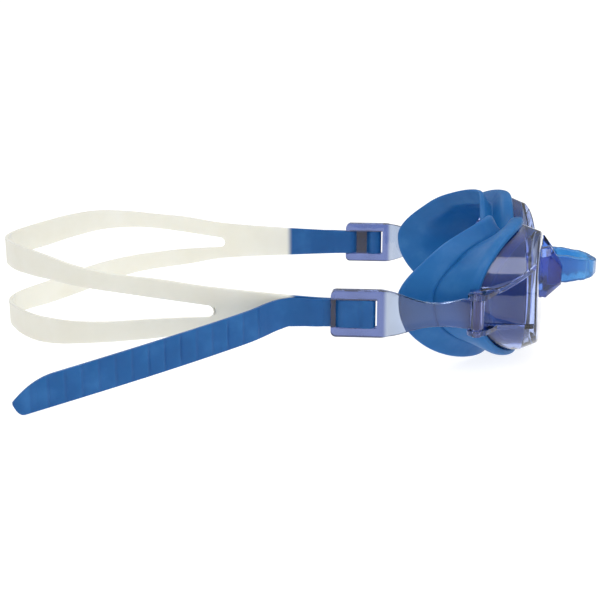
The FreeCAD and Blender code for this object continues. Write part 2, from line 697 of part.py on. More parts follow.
def make_nose_bridge():
    """The soft bridge: a U from above, lower at its front than at the lugs."""
    body = doc.addObject("PartDesign::Body", "nose_bridge")
    body.Label = "nose_bridge"
    plan = body.newObject("Sketcher::SketchObject", "bridge_plan")
    plan.AttachmentSupport = [(origin_plane(body, "XY_Plane"), "")]
    plan.MapMode = "FlatFace"
    outer = size("lug_inner") - size("bridge_gap")
    inner = outer - size("bridge_wall")
    middle = lug_front() + size("bridge_front") - outer
    rear = lug_front() - 6.0
    centre = Vector(middle, 0, 0)
    up = Vector(0, 0, 1)
    half_turn = (-math.pi / 2.0, math.pi / 2.0)
    geometry = [
        Part.ArcOfCircle(Part.Circle(centre, up, outer), *half_turn),
        Part.LineSegment(Vector(middle, outer, 0), Vector(rear, outer, 0)),
        Part.LineSegment(Vector(rear, outer, 0), Vector(rear, inner, 0)),
        Part.LineSegment(Vector(rear, inner, 0), Vector(middle, inner, 0)),
        Part.ArcOfCircle(Part.Circle(centre, up, inner), *half_turn),
        Part.LineSegment(Vector(middle, -inner, 0), Vector(rear, -inner, 0)),
        Part.LineSegment(Vector(rear, -inner, 0), Vector(rear, -outer, 0)),
        Part.LineSegment(Vector(rear, -outer, 0), Vector(middle, -outer, 0)),
    ]
    plan.addGeometry(geometry, False)
    joined = ((0, 2, 1, 1), (1, 2, 2, 1), (2, 2, 3, 1), (3, 2, 4, 2),
              (4, 1, 5, 1), (5, 2, 6, 1), (6, 2, 7, 1), (7, 2, 0, 1))
    for first, first_end, second, second_end in joined:
        plan.addConstraint(Sketcher.Constraint("Coincident", first, first_end, second, second_end))
    for line in (1, 3, 5, 7):
        plan.addConstraint(Sketcher.Constraint("Horizontal", line))
    for line in (2, 6):
        plan.addConstraint(Sketcher.Constraint("Vertical", line))
    plan.addConstraint(Sketcher.Constraint("Coincident", 0, 3, 4, 3))
    plan.addConstraint(Sketcher.Constraint("PointOnObject", 0, 3, -1))
    for arc in (0, 4):
        plan.addConstraint(Sketcher.Constraint("Vertical", arc, 3, arc, 2))
        plan.addConstraint(Sketcher.Constraint("Vertical", arc, 3, arc, 1))
    named = (
        ("outer", Sketcher.Constraint("Radius", 0, outer), "sizes.lug_inner - sizes.bridge_gap"),
        ("inner", Sketcher.Constraint("Radius", 4, inner),
         "sizes.lug_inner - sizes.bridge_gap - sizes.bridge_wall"),
        ("middle", Sketcher.Constraint("DistanceX", -1, 1, 0, 3, middle),
         LUG_FRONT + " + sizes.bridge_front - sizes.lug_inner + sizes.bridge_gap"),
        ("rear", Sketcher.Constraint("DistanceX", -1, 1, 2, 1, rear), LUG_FRONT + " - 6"),
    )
    for name, constraint, expression in named:
        index = plan.addConstraint(constraint)
        plan.renameConstraint(index, name)
        plan.setExpression("Constraints." + name, expression)
    plan.addConstraint(Sketcher.Constraint("Vertical", 2, 1, 6, 2))
    pad = body.newObject("PartDesign::Pad", "bridge_pad")
    pad.Profile = plan
    pad.Midplane = True
    pad.setExpression("Length", "sizes.bridge_height")
    doc.recompute()
    full_volume = pad.Shape.Volume
    side = body.newObject("Sketcher::SketchObject", "bridge_side")
    side.AttachmentSupport = [(origin_plane(body, "XZ_Plane"), "")]
    side.MapMode = "FlatFace"
    high = size("bridge_height") / 2.0
    low = size("bridge_tip_height") / 2.0
    from_x = lug_front() + 1.0
    to_x = lug_front() + size("bridge_front") + 1.0
    wedges = []
    for sign in (1.0, -1.0):
        a = Vector(from_x, sign * high, 0)
        b = Vector(to_x, sign * low, 0)
        c = Vector(to_x, sign * (high + 1.0), 0)
        d = Vector(from_x, sign * (high + 1.0), 0)
        wedges += [Part.LineSegment(a, b), Part.LineSegment(b, c)]
        wedges += [Part.LineSegment(c, d), Part.LineSegment(d, a)]
    side.addGeometry(wedges, False)
    pocket = body.newObject("PartDesign::Pocket", "bridge_taper")
    pocket.Profile = side
    pocket.Type = "ThroughAll"
    pocket.Midplane = True
    doc.recompute()
    if pocket.Shape.Volume > 0.98 * full_volume:
        raise RuntimeError("the taper of the nose bridge cut nothing")
    body.Tip = pocket
    body.setExpression("Placement.Base.z", "sizes.bridge_rise")
    return body


def mirrored(name, source):
    """The left copy of a right piece."""
    copy = doc.addObject("Part::Mirroring", name)
    copy.Label = name
    copy.Source = source
    copy.Normal = Vector(0, 1, 0)
    return copy


strap_rear_shape, strap_right_shape, strap_left_shape = strap_pieces()
right_lens = make_right_lens()
right_gasket = make_right_gasket()
right_pin = make_right_pin()
right_clip = make_right_clip()
nose_bridge = make_nose_bridge()
tails = {}
for side_name, side_sign in (("right", -1), ("left", 1)):
    tails[side_name] = tail(side_sign, size(side_name + "_tail_length"),
                            size(side_name + "_tail_swing"), size(side_name + "_tail_drop"))

pieces = [
    right_lens,
    mirrored("left_lens", right_lens),
    right_gasket,
    mirrored("left_gasket", right_gasket),
    nose_bridge,
    right_pin,
    mirrored("left_clip_pin", right_pin),
    right_clip,
    mirrored("left_clip", right_clip),
    solid_feature("strap_right_fold", strap_fold(-1)),
    solid_feature("strap_left_fold", strap_fold(1)),
    solid_feature("strap_rear", strap_rear_shape),
    solid_feature("strap_right_end", strap_right_shape),
    solid_feature("strap_left_end", strap_left_shape),
    solid_feature("strap_right_tail", tails["right"]),
    solid_feature("strap_left_tail", tails["left"]),
]
doc.recompute()

whole = FreeCAD.BoundBox()
for piece in pieces:
    whole.add(piece.Shape.optimalBoundingBox(False))
shift = Vector(-(whole.XMin + whole.XMax) / 2.0, -(whole.YMin + whole.YMax) / 2.0, -whole.ZMin)

for piece in doc.Objects:
    if "Invalid" in piece.State or "Error" in piece.State:
        raise RuntimeError("%s failed: %s" % (piece.Label, piece.State))

os.makedirs("parts", exist_ok=True)
for piece in pieces:
    shape = piece.Shape
    node = piece.Label
    if shape.isNull() or not shape.isValid() or not shape.Solids:
        raise RuntimeError("%s has no valid solid" % node)
    piece.Label = node + "_drawn"
    placed = solid_feature(node, shape.copy())
    placed.Placement = FreeCAD.Placement(shift, FreeCAD.Rotation())
    bounds = shape.BoundBox
    print("%-18s solids %d volume %9.1f  x %7.2f %7.2f  y %7.2f %7.2f  z %7.2f %7.2f" % (
        node, len(shape.Solids), shape.Volume, bounds.XMin, bounds.XMax,
        bounds.YMin, bounds.YMax, bounds.ZMin, bounds.ZMax))
    placed.Shape.exportStep("parts/%s.step" % node)
print("shift", shift)
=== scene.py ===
import json
import math

import bmesh
import bpy
from mathutils import Matrix, Vector


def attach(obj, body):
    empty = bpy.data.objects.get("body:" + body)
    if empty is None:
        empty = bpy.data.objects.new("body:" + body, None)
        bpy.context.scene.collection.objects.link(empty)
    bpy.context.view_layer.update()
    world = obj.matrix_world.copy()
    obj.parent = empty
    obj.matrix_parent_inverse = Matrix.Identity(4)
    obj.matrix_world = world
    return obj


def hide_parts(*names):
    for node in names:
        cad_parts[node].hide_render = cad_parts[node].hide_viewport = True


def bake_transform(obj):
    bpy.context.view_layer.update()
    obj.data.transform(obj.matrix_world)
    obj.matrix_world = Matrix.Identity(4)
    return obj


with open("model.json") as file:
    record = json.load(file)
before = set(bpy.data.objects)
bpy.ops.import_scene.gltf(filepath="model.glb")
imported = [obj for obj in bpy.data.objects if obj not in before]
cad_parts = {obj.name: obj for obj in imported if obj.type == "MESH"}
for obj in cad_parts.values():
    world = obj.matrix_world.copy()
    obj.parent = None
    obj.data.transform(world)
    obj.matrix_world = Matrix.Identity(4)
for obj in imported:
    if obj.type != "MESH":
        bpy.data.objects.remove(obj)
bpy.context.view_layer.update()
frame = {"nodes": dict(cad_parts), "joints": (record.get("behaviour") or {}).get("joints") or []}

# Swim goggles. Every place below is in millimetres in the goggles' own frame: X = 0 is the middle
# of the buckles, Y = 0 the middle plane of the face and Z = 0 the middle of the strap. at() turns
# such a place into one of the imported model.
MM = 0.001
BEND_BEHIND = 12.0
JOINTS = {joint["name"]: Vector(joint["pos_m"]) for joint in frame["joints"]}
RIGHT_BEND = JOINTS["right_strap_bend"]
LEFT_BEND = JOINTS["left_strap_bend"]
ORIGIN = (RIGHT_BEND + LEFT_BEND) / 2.0 + Vector((BEND_BEHIND * MM, 0.0, 0.0))
RIGHT = -1.0
LEFT = 1.0

# eye cups
CUP_OFFSET = 34.5
CUP_RISE = 4.0
CUP_POWER = 2.3
RIM_HALF_WIDTH = 23.8
RIM_HALF_HEIGHT = 27.6
RIM_FRONT = 49.0
RIM_SWEEP = 35.6
SWEEP_START = CUP_OFFSET - 10.5
SWEEP_SPAN = 35.0
FLANGE = 1.8
COLLAR_DEPTH = 4.6
COLLAR_WALL = 2.3
SEAT_GAP = 0.1
SLEEVE = 8.0
LENS_HALF_WIDTH = 25.0
LENS_HALF_HEIGHT = 24.5
LENS_REAR = 58.0
LENS_SWEEP = 18.0
LENS_SHOULDER = 61.5
LENS_FRONT = 69.5
FRONT_TAPER_WIDE = 2.0
FRONT_TAPER_HIGH = 3.3
FRONT_WRAP = math.radians(9.0)
FRONT_LEAN = 0.025
LENS_WALL = 2.0
CUP_STEPS = 144

# Where the oval of a cup is drawn in, as angles from the temple, and how fast that fades.
UPPER_END = 2.0
LOWER_START = 4.2
TEMPLE_FADE = 0.8
BROW_FADE = 0.9

# pins, buckles and strap
PIN_X = 43.5
PIN_Y = 67.5
PIN_Z = 2.0
CLIP_Y = 62.1
STRAP_THICKNESS = 1.3
STRAP_WIDTH = 10.4
STRAP_PLAY = 0.15
STRAP_REAR = 150.0
STRAP_SPAN = 60.3
STRAIGHT_END = 60.0
SLOT_START = {RIGHT: 53.5, LEFT: 66.5}
SLOT_END_RADIUS = 2.1
COLOUR_CHANGE = {RIGHT: -24.0, LEFT: -36.0}
COLOUR_BLEND = 1.6
INNER_LAYER = 60.85
OUTER_LAYER = 62.3
STRAP_HALF = STRAP_WIDTH / 2.0
REAR_FACE = STRAP_REAR + STRAP_THICKNESS

# loose ends: length, how far the tip stands out and how far it hangs down
RIGHT_TAIL = (115.0, 55.0, 17.6)
LEFT_TAIL = (42.0, 3.0, 0.0)
TAIL_LEAD = 13.0
STEP_FRONT = -33.0
STEP_FRONT_DISTANCE = 22.0
STEP_TIP_DISTANCE = 9.0
STEP_PITCH = 5.15
STEP_GROOVE = 0.48


def at(x, y, z):
    """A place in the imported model, in metres, from one in the goggles' own frame."""
    return ORIGIN + Vector((x, y, z)) * MM


# ---------------------------------------------------------------------------------------------
# mesh helpers


def link(name, mesh):
    obj = bpy.data.objects.new(name, mesh)
    bpy.context.scene.collection.objects.link(obj)
    return obj


def make_mesh(name, points, faces):
    """A smooth-shaded object from places in the goggles' frame."""
    mesh = bpy.data.meshes.new(name)
    mesh.from_pydata([at(*point) for point in points], [], faces)
    mesh.validate()
    mesh.polygons.foreach_set("use_smooth", [True] * len(mesh.polygons))
    return link(name, mesh)


def clean(obj, merge=0.00001):
    """Weld doubled points and turn every face outwards."""
    work = bmesh.new()
    work.from_mesh(obj.data)
    bmesh.ops.remove_doubles(work, verts=work.verts, dist=merge)
    bmesh.ops.recalc_face_normals(work, faces=work.faces)
    work.to_mesh(obj.data)
    work.free()
    return obj


def ring_faces(rings, count, close_rings):
    """Quads between rings of the same number of points."""
    faces = []
    pairs = rings if close_rings else rings - 1
    for ring in range(pairs):
        first = ring * count
        second = ((ring + 1) % rings) * count
        for step in range(count):
            following = (step + 1) % count
            faces.append((first + step, first + following, second + following, second + step))
    return faces


def skin(name, rings, close_rings=False):
    """A surface through closed rings of points; open ends are capped."""
    count = len(rings[0])
    points = [point for ring in rings for point in ring]
    faces = ring_faces(len(rings), count, close_rings)
    if not close_rings:
        faces.append(tuple(range(count)))
        faces.append(tuple(range((len(rings) - 1) * count, len(rings) * count)))
    return clean(make_mesh(name, points, faces))


def modified(obj, *modifiers):
    """Apply modifiers, each given as (type, {setting: value}), and keep only their result."""
    for kind, settings in modifiers:
        modifier = obj.modifiers.new(kind.lower(), kind)
        for setting, value in settings.items():
            setattr(modifier, setting, value)
    graph = bpy.context.evaluated_depsgraph_get()
    result = bpy.data.meshes.new_from_object(obj.evaluated_get(graph))
    obj.modifiers.clear()
    obj.data = result
    return obj


def smooth_by_angle(obj, degrees):
    """Smooth shading, with edges sharper than the angle kept crisp."""
    work = bmesh.new()
    work.from_mesh(obj.data)
    limit = math.radians(degrees)
    for face in work.faces:
        face.smooth = True
    for edge in work.edges:
        if len(edge.link_faces) == 2 and edge.calc_face_angle(0.0) > limit:
            edge.smooth = False
    work.to_mesh(obj.data)
    work.free()
    return obj


def bevelled(obj, width, angle=32.0, segments=3):
    """Round the sharp edges of an object."""
    settings = {
        "width": width * MM,
        "segments": segments,
        "limit_method": "ANGLE",
        "angle_limit": math.radians(angle),
        "use_clamp_overlap": True,
        "harden_normals": False,
    }
    return modified(obj, ("BEVEL", settings))


def flip_side(obj, name):
    """The mirror image of a piece, on the other side of the face."""
    mesh = obj.data.copy()
    mesh.name = name
    mirror = Matrix.Translation(ORIGIN) @ Matrix.Scale(-1.0, 4, Vector((0.0, 1.0, 0.0)))
    mesh.transform(mirror @ Matrix.Translation(-ORIGIN))
    mesh.flip_normals()
    return link(name, mesh)


def from_cad(name, node, width, angle=32.0):
    """A copy of a CAD node's shape with its flat faces made whole and its edges rounded."""
    obj = link(name, frame["nodes"][node].data.copy())
    obj.data.name = name
    work = bmesh.new()
    work.from_mesh(obj.data)
    bmesh.ops.remove_doubles(work, verts=work.verts, dist=0.000002)
    bmesh.ops.dissolve_limit(work, angle_limit=math.radians(1.0), verts=work.verts, edges=work.edges)
    bmesh.ops.recalc_face_normals(work, faces=work.faces)
    work.to_mesh(obj.data)
    work.free()
    obj.data.materials.clear()
    bevelled(obj, width, angle)
    return smooth_by_angle(obj, 38.0)


def joined(name, parts):
    """Fuse closed parts into the first of them."""
    base = parts[0]
    for part in parts[1:]:
        settings = {"operation": "UNION", "solver": "EXACT", "object": part}
        modified(base, ("BOOLEAN", settings))
        bpy.data.objects.remove(part)
    base.name = name
    return base


def spline_points(corners, steps, closed):
    """Points along a Catmull-Rom curve through corners, which are tuples of numbers."""
    count = len(corners)
    spans = count if closed else count - 1
    points = []
    for span in range(spans):
        if closed:
            picks = [corners[(span + offset) % count] for offset in (-1, 0, 1, 2)]
        else:
            picks = [corners[min(count - 1, max(0, span + offset))] for offset in (-1, 0, 1, 2)]
        for step in range(steps):
            t = step / steps
            weights = (
                -0.5 * t + t ** 2 - 0.5 * t ** 3,
                1.0 - 2.5 * t ** 2 + 1.5 * t ** 3,
                0.5 * t + 2.0 * t ** 2 - 1.5 * t ** 3,
                -0.5 * t ** 2 + 0.5 * t ** 3,
            )
            axes = range(len(corners[0]))
            points.append(tuple(sum(w * p[axis] for w, p in zip(weights, picks)) for axis in axes))
    if not closed:
        points.append(tuple(corners[-1]))
    return points


def interpolate(table, value):
    """Smooth value of a table of (place, height) pairs, in rising order of place."""
    if value <= table[0][0]:
        return table[0][1]
    for (low, low_height), (high, high_height) in zip(table, table[1:]):
        if value <= high:
            share = (value - low) / (high - low)
            share = share * share * (3.0 - 2.0 * share)
            return low_height + (high_height - low_height) * share
    return table[-1][1]


# ---------------------------------------------------------------------------------------------
# materials


def new_material(name):
    """A node material, with its tree and its shader."""
    material = bpy.data.materials.new(name)
    material.use_nodes = True
    tree = material.node_tree
    shader = tree.nodes["Principled BSDF"]
    return material, tree, shader


def object_position(tree):
    return tree.nodes.new("ShaderNodeTexCoord").outputs["Object"]


def noise(tree, scale, detail=4.0, roughness=0.55):
    node = tree.nodes.new("ShaderNodeTexNoise")
    node.inputs["Scale"].default_value = scale
    node.inputs["Detail"].default_value = detail
    node.inputs["Roughness"].default_value = roughness
    tree.links.new(object_position(tree), node.inputs["Vector"])
    return node.outputs["Fac"]


def spread(tree, factor, low, high):
    """Turn a factor of 0 to 1 into a number from low to high."""
    node = tree.nodes.new("ShaderNodeMapRange")
    node.inputs["From Min"].default_value = 0.3
    node.inputs["From Max"].default_value = 0.7
    node.inputs["To Min"].default_value = low
    node.inputs["To Max"].default_value = high
    tree.links.new(factor, node.inputs["Value"])
    return node.outputs["Result"]


def ramp(tree, factor, stops):
    node = tree.nodes.new("ShaderNodeValToRGB")
    elements = node.color_ramp.elements
    while len(elements) < len(stops):
        elements.new(0.5)
    for element, (place, colour) in zip(elements, stops):
        element.position = place
        element.color = (*colour, 1.0)
    tree.links.new(factor, node.inputs["Fac"])
    return node.outputs["Color"]


def mix_colour(tree, factor, first, second, kind="MIX"):
    node = tree.nodes.new("ShaderNodeMix")
    node.data_type = "RGBA"
    node.blend_type = kind
    if isinstance(factor, float):
        node.inputs["Factor"].default_value = factor
    else:
        tree.links.new(factor, node.inputs["Factor"])
    colour_sockets = [socket for socket in node.inputs if socket.type == "RGBA"]
    for socket, value in zip(colour_sockets, (first, second)):
        if isinstance(value, tuple):
            socket.default_value = (*value, 1.0)
        else:
            tree.links.new(value, socket)
    return [socket for socket in node.outputs if socket.type == "RGBA"][0]


def add_bump(tree, shader, height, strength, distance):
    node = tree.nodes.new("ShaderNodeBump")
    node.inputs["Strength"].default_value = strength
    node.inputs["Distance"].default_value = distance
    tree.links.new(height, node.inputs["Height"])
    tree.links.new(node.outputs["Normal"], shader.inputs["Normal"])


def edge_factor(tree, low, high):
    """Pointiness of the mesh, spread between two levels: 0 in hollows, 1 on sharp edges."""
    node = tree.nodes.new("ShaderNodeNewGeometry")
    spread_node = tree.nodes.new("ShaderNodeMapRange")
    spread_node.inputs["From Min"].default_value = low
    spread_node.inputs["From Max"].default_value = high
    tree.links.new(node.outputs["Pointiness"], spread_node.inputs["Value"])
    return spread_node.outputs["Result"]


def along_x(tree, start, end):
    """A node that turns places along X into 0 at the start and 1 at the end."""
    separate = tree.nodes.new("ShaderNodeSeparateXYZ")
    tree.links.new(object_position(tree), separate.inputs["Vector"])
    node = tree.nodes.new("ShaderNodeMapRange")
    node.inputs["From Min"].default_value = at(start, 0.0, 0.0).x
    node.inputs["From Max"].default_value = at(end, 0.0, 0.0).x
    tree.links.new(separate.outputs["X"], node.inputs["Value"])
    return node


def silicone(name, deep, middle, light, roughness, scatter, radius):
    """Soft matt silicone: faint mottling, a painted highlight that makes sharp edges paler, and a very
    fine moulded grain.
    """
    material, tree, shader = new_material(name)
    mottle = ramp(tree, noise(tree, 90.0), ((0.25, deep), (0.5, middle), (0.8, light)))
    # sharp edges mixed towards the light tone: a painted highlight along rims and folds
    edge_highlight = mix_colour(tree, edge_factor(tree, 0.515, 0.60), mottle, light)
    tree.links.new(edge_highlight, shader.inputs["Base Color"])
    tree.links.new(spread(tree, noise(tree, 300.0), roughness - 0.06, roughness + 0.08),
                   shader.inputs["Roughness"])
    shader.inputs["Subsurface Weight"].default_value = scatter
    shader.inputs["Subsurface Radius"].default_value = radius
    shader.inputs["Subsurface Scale"].default_value = 0.003
    shader.inputs["Specular IOR Level"].default_value = 0.34
    shader.inputs["Sheen Weight"].default_value = 0.03
    shader.inputs["Sheen Roughness"].default_value = 0.4
    add_bump(tree, shader, noise(tree, 2600.0, 2.0), 0.18, 0.00005)
    return material


def clear_plastic(name, thin, thick, roughness, transmission=1.0, ior=1.52):
    """Tinted clear plastic with faint flow lines, fine scuffs and a slightly uneven skin."""
    material, tree, shader = new_material(name)
    flow = tree.nodes.new("ShaderNodeTexWave")
    flow.inputs["Scale"].default_value = 22.0
    flow.inputs["Distortion"].default_value = 5.0
    tree.links.new(object_position(tree), flow.inputs["Vector"])
    tint = ramp(tree, flow.outputs["Fac"], ((0.0, thick), (1.0, thin)))
    tree.links.new(tint, shader.inputs["Base Color"])
    scuffs = spread(tree, noise(tree, 420.0, 6.0, 0.7), roughness * 0.6, roughness * 1.8)
    tree.links.new(scuffs, shader.inputs["Roughness"])
    shader.inputs["Transmission Weight"].default_value = transmission
    shader.inputs["IOR"].default_value = ior
    shader.inputs["Coat Weight"].default_value = 0.3
    shader.inputs["Coat Roughness"].default_value = 0.04
    add_bump(tree, shader, noise(tree, 700.0, 2.0), 0.04, 0.00002)
    return material


GASKET = silicone("gasket_silicone", (0.003, 0.112, 0.34), (0.006, 0.128, 0.375), (0.03, 0.17, 0.43),
                  0.47, 0.15, (0.1, 0.4, 1.0))
BLUE_DEEP = (0.001, 0.078, 0.265)
BLUE_MIDDLE = (0.002, 0.090, 0.295)
BLUE_LIGHT = (0.015, 0.13, 0.37)
STRAP_BLUE = silicone("strap_blue", BLUE_DEEP, BLUE_MIDDLE, BLUE_LIGHT, 0.42, 0.1, (0.1, 0.4, 1.0))
LENS = clear_plastic("lens_blue", (0.45, 0.55, 0.89), (0.35, 0.45, 0.84), 0.03)
LUG = clear_plastic("lens_blue_thick", (0.10, 0.24, 0.74), (0.06, 0.16, 0.66), 0.04)
PIN = clear_plastic("pin_clear", (0.62, 0.65, 0.90), (0.55, 0.58, 0.86), 0.10)
BRIDGE = clear_plastic("bridge_silicone", (0.09, 0.38, 0.78), (0.05, 0.28, 0.70), 0.16, 0.7, 1.41)


def clip_material():
    """The lens's plastic, deep in the buckle and the eye and pale in the thin arm between."""
    material = clear_plastic("clip_lavender", (1.0, 1.0, 1.0), (0.9, 0.9, 0.9), 0.06)
    tree = material.node_tree
    shader = tree.nodes["Principled BSDF"]
    flow = shader.inputs["Base Color"].links[0].from_socket
    along = along_x(tree, 0.0, 50.0)
    buckle = (0.12, 0.165, 0.40)
    web = (0.45, 0.52, 0.66)
    arm = (0.44, 0.55, 0.76)
    front = (0.42, 0.53, 0.82)
    eye = (0.34, 0.38, 0.68)
    tint = ramp(tree, along.outputs["Result"],
                ((0.19, buckle), (0.22, web), (0.50, arm), (0.72, front), (0.86, eye)))
    tree.links.new(mix_colour(tree, 1.0, tint, flow, "MULTIPLY"), shader.inputs["Base Color"])
    return material


CLIP = clip_material()


def strap_material(name, change):
    """Milky silicone behind a place along X and blue ahead of it."""
    material, tree, shader = new_material(name)
    blend = along_x(tree, change - COLOUR_BLEND, change + COLOUR_BLEND)
    blend.interpolation_type = "SMOOTHSTEP"
    milky = ramp(tree, noise(tree, 70.0),
                 ((0.25, (0.82, 0.80, 0.70)), (0.5, (0.845, 0.83, 0.735)), (0.8, (0.87, 0.86, 0.78))))
    blue = ramp(tree, noise(tree, 90.0),
                ((0.25, BLUE_DEEP), (0.5, BLUE_MIDDLE), (0.8, BLUE_LIGHT)))
    colour = mix_colour(tree, blend.outputs["Result"], milky, blue)
    tree.links.new(colour, shader.inputs["Base Color"])
    tree.links.new(spread(tree, noise(tree, 300.0), 0.40, 0.54), shader.inputs["Roughness"])
    shader.inputs["Subsurface Weight"].default_value = 0.35
    shader.inputs["Subsurface Radius"].default_value = (1.0, 0.9, 0.75)
    shader.inputs["Subsurface Scale"].default_value = 0.0025
    shader.inputs["Specular IOR Level"].default_value = 0.36
    add_bump(tree, shader, noise(tree, 2600.0, 2.0), 0.15, 0.00005)
    return material


STRAP_RIGHT = strap_material("strap_right_two_colour", COLOUR_CHANGE[RIGHT])
STRAP_LEFT = strap_material("strap_left_two_colour", COLOUR_CHANGE[LEFT])


def tail_material():
    """Blue silicone of the tail, with painted shade in the grooves and a painted highlight on the lands
    and crests of its steps.
    """
    material = STRAP_BLUE.copy()
    material.name = "strap_blue_stepped"
    tree = material.node_tree
    shader = tree.nodes["Principled BSDF"]
    plain = shader.inputs["Base Color"].links[0].from_socket
    steps = along_x(tree, STEP_FRONT, STEP_FRONT - STEP_PITCH)
    steps.clamp = False
    phase = tree.nodes.new("ShaderNodeMath")
    phase.operation = "FRACT"
    tree.links.new(steps.outputs["Result"], phase.inputs[0])
    behind = spread(tree, steps.outputs["Result"], 0.0, 0.2)
    # multipliers along each step: below 1 paints shade into the groove, above 1 paints a highlight on
    # the land and the crest
    land = (1.3, 1.22, 1.12)
    crest_highlight = (2.2, 1.6, 1.34)
    shade = ramp(tree, phase.outputs["Value"],
                 ((0.0, land), (0.36, (1.1, 1.08, 1.04)), (0.43, (0.62, 0.72, 0.8)),
                  (0.52, (0.65, 0.74, 0.82)), (0.60, crest_highlight), (1.0, land)))
    tint = mix_colour(tree, behind, plain, shade, "MULTIPLY")
    tree.links.new(tint, shader.inputs["Base Color"])
    return material


STRAP_TAIL = tail_material()


def paint(obj, *materials):
    obj.data.materials.clear()
    for material in materials:
        obj.data.materials.append(material)
    return obj


# ---------------------------------------------------------------------------------------------
# eye cups


def outline_radius(half_width, half_height, angle, above=0.06, below=0.045):
    """Distance from the cup's axis to an oval, drawn in above and below the temple."""
    across = (abs(math.cos(angle)) / half_width) ** CUP_POWER
    upward = (abs(math.sin(angle)) / half_height) ** CUP_POWER
    radius = (across + upward) ** (-1.0 / CUP_POWER)
    if 0.0 < angle < UPPER_END:
        share = min(1.0, angle / TEMPLE_FADE) * min(1.0, (UPPER_END - angle) / BROW_FADE)
        radius *= 1.0 - above * share * share * (3.0 - 2.0 * share)
    if angle > LOWER_START:
        share = min(1.0, (2.0 * math.pi - angle) / TEMPLE_FADE)
        share *= min(1.0, (angle - LOWER_START) / BROW_FADE)
        radius *= 1.0 - below * share * share * (3.0 - 2.0 * share)
    return radius


def cup_point(x, radius, angle):
    return (x, -CUP_OFFSET - radius * math.cos(angle), CUP_RISE + radius * math.sin(angle))


def swept_back(start, sweep, y):
    beyond = max(0.0, abs(y) - SWEEP_START) / SWEEP_SPAN
    return start - sweep * beyond ** 2


def gasket_section(angle):
    """Section through the soft cup: collar, creased neck, rolled rim and inner lip."""
    lens_r = outline_radius(LENS_HALF_WIDTH, LENS_HALF_HEIGHT, angle)
    rim_r = outline_radius(RIM_HALF_WIDTH, RIM_HALF_HEIGHT, angle, 0.11, 0.02)
    lens_x = swept_back(LENS_REAR, LENS_SWEEP, cup_point(0, lens_r, angle)[1])
    rim_x = swept_back(RIM_FRONT, RIM_SWEEP, cup_point(0, rim_r, angle)[1])
    neck_x = 0.5 * (rim_x + lens_x)
    neck_r = min(lens_r, rim_r) - 1.6 * FLANGE
    half = 0.5 * FLANGE
    profile = [
        (lens_x + COLLAR_DEPTH, lens_r + SEAT_GAP),
        (lens_x + COLLAR_DEPTH, lens_r + 0.6 * COLLAR_WALL),
        (lens_x + 0.86 * COLLAR_DEPTH, lens_r + 0.94 * COLLAR_WALL),
        (lens_x + 0.45 * COLLAR_DEPTH, lens_r + COLLAR_WALL),
        (lens_x + 0.02 * COLLAR_DEPTH, lens_r + 0.74 * COLLAR_WALL),
        (neck_x + half + 0.40 * (lens_x - neck_x), neck_r + half + 0.38 * (lens_r - neck_r)),
        (neck_x + half + 0.9, neck_r + half - 0.2),
        (neck_x + half, neck_r + half - 1.0),
        (neck_x + half - 0.9, neck_r + half - 0.1),
        (0.5 * (neck_x + rim_x) + half, 0.5 * (neck_r + rim_r) + 0.1),
        (rim_x + 1.1 * FLANGE, rim_r - 0.45),
        (rim_x + 0.55 * FLANGE, rim_r),
        (rim_x + 0.1 * FLANGE, rim_r - 0.02),
        (rim_x - 0.05 * FLANGE, rim_r - 0.30 * FLANGE),
        (rim_x + 0.15 * FLANGE, rim_r - 0.62 * FLANGE),
        (0.5 * (neck_x + rim_x) - 0.1, 0.5 * (neck_r + rim_r) - 0.9 * FLANGE),
        (neck_x - half, neck_r - half - 0.5),
        (lens_x - 0.9 * FLANGE, lens_r - LENS_WALL - 1.7),
        (lens_x + SLEEVE, lens_r - LENS_WALL - 1.5),
        (lens_x + SLEEVE, lens_r - LENS_WALL - 0.5),
        (lens_x - SEAT_GAP, lens_r - LENS_WALL - 0.5),
        (lens_x - SEAT_GAP, lens_r + SEAT_GAP),
    ]
    return [cup_point(x, radius, angle) for x, radius in spline_points(profile, 3, True)]


def make_gasket():
    sections = [gasket_section(2.0 * math.pi * step / CUP_STEPS) for step in range(CUP_STEPS)]
    return skin("right_cup_gasket", sections, close_rings=True)


def lens_face_x(y, z):
    """X of the lens front, which wraps back at the temple and leans a little."""
    return LENS_FRONT + math.tan(FRONT_WRAP) * (y + CUP_OFFSET) - FRONT_LEAN * (z - CUP_RISE)


def lens_ring(inset, depth_share):
    """A ring of the lens wall: 0 is its rear edge, 1 its shoulder, 2 its front edge."""
    wide = LENS_HALF_WIDTH - inset
    high = LENS_HALF_HEIGHT - inset
    front = max(0.0, depth_share - 1.0)
    ring = []
    for step in range(CUP_STEPS):
        angle = 2.0 * math.pi * step / CUP_STEPS
        radius = outline_radius(wide - front * FRONT_TAPER_WIDE, high - front * FRONT_TAPER_HIGH, angle)
        y, z = cup_point(0.0, radius, angle)[1:]
        rear_y = cup_point(0.0, outline_radius(wide, high, angle), angle)[1]
        rear = swept_back(LENS_REAR, LENS_SWEEP, rear_y)
        if depth_share <= 1.0:
            x = rear + (LENS_SHOULDER - rear) * depth_share
        else:
            x = LENS_SHOULDER + (lens_face_x(y, z) - LENS_SHOULDER) * front
        ring.append((x, y, z))
    return ring


def face_ring(inset, share, back):
    """A ring on the flat lens front, shrunk towards its middle."""
    edge = lens_ring(inset, 2.0)
    ring = []
    for x, y, z in edge:
        y = -CUP_OFFSET + (y + CUP_OFFSET) * share
        z = CUP_RISE + (z - CUP_RISE) * share
        ring.append((lens_face_x(y, z) - back, y, z))
    return ring


